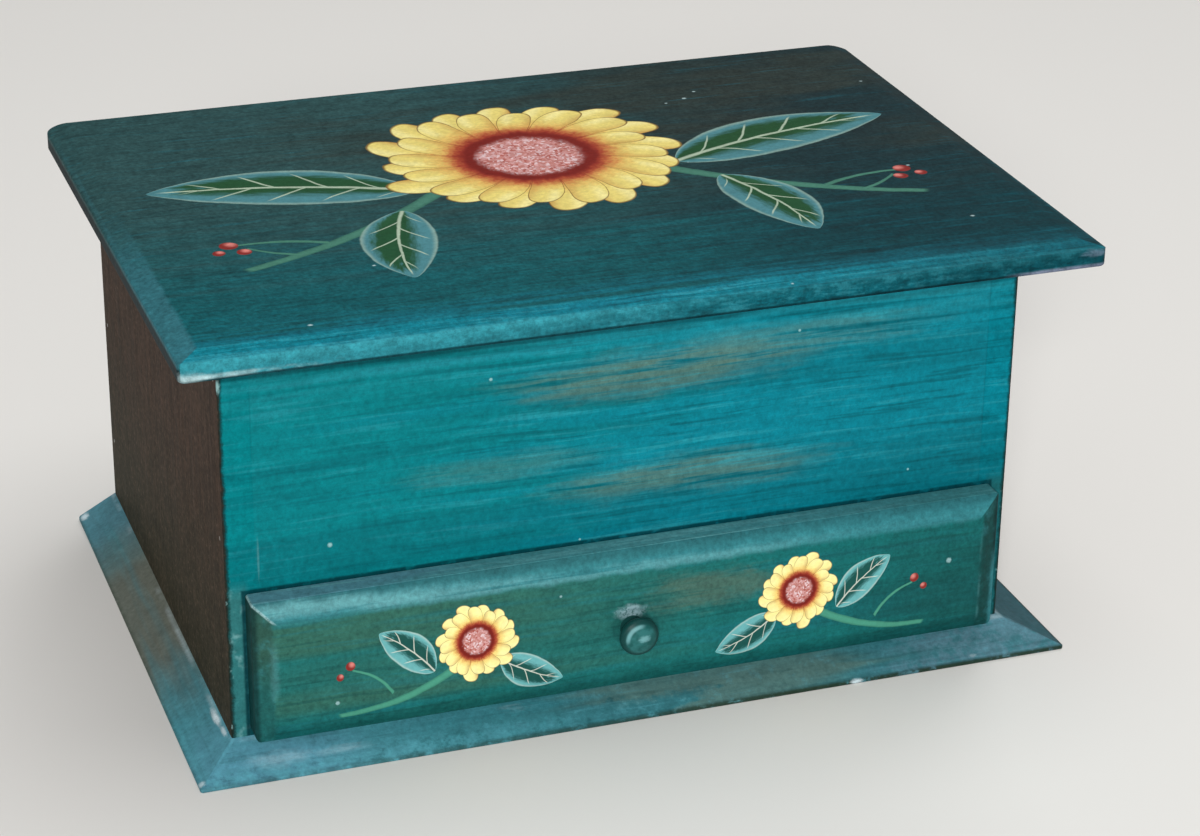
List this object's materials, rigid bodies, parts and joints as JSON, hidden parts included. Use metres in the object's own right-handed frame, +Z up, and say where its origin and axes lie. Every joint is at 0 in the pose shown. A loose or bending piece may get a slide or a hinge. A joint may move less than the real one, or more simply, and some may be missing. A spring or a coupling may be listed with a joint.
{
  "type": "keepsake box",
  "caption": "Painted wooden keepsake box: a compartment under a hinged, overhanging lid, one shallow drawer with a turned knob below it, all on a bevelled base board.",
  "frame": {"origin": "middle of the base board's underside, on the surface that the box stands on", "axes": "+X to the right as the drawer faces the viewer, +Y from the drawer to the hinges, +Z up"},
  "size_m": [0.306, 0.2196, 0.1552],
  "materials": {
    "lid_paint": "satin dark slate-teal paint, worn at the arrises",
    "front_paint": "satin teal paint with brush streaks",
    "side_paint": "dull dark brown stain",
    "drawer_paint": "satin green-teal paint with olive patches",
    "base_paint": "thin blue-grey paint with bare streaks",
    "bare_pine": "bare planed wood, darkened with age",
    "brass": "dull brass",
    "steel": "dull steel"
  },
  "bodies": {
    "case": {"base_board": "base_paint", "left_side_board": "side_paint", "right_side_board": "side_paint", "front_board": "front_paint", "back_board": "side_paint", "compartment_floor": "bare_pine", "case_leaf_screws": "brass", "base_screws": "steel", "case_brads": "steel", "left_hinge_case_leaf": "brass", "left_hinge_pin": "brass", "right_hinge_case_leaf": "brass", "right_hinge_pin": "brass"},
    "lid": {"lid_board": "lid_paint", "lid_leaf_screws": "brass", "left_hinge_lid_leaf": "brass", "right_hinge_lid_leaf": "brass"},
    "drawer": {"drawer_front": "drawer_paint", "drawer_left_side": "bare_pine", "drawer_right_side": "bare_pine", "drawer_back": "bare_pine", "drawer_bottom": "bare_pine", "drawer_brads": "steel", "drawer_knob": "drawer_paint", "knob_screw": "steel"}
  },
  "joints": [
    {"name": "lid_hinge", "type": "hinge", "parent": "case", "child": "lid", "pos_m": [0, 0.10395, 0.1471], "axis": [-1, 0, 0], "range_deg": [0, 205]},
    {"name": "drawer_slide", "type": "slide", "parent": "case", "child": "drawer", "axis": [0, -1, 0], "range_m": [0, 0.14]}
  ]
}
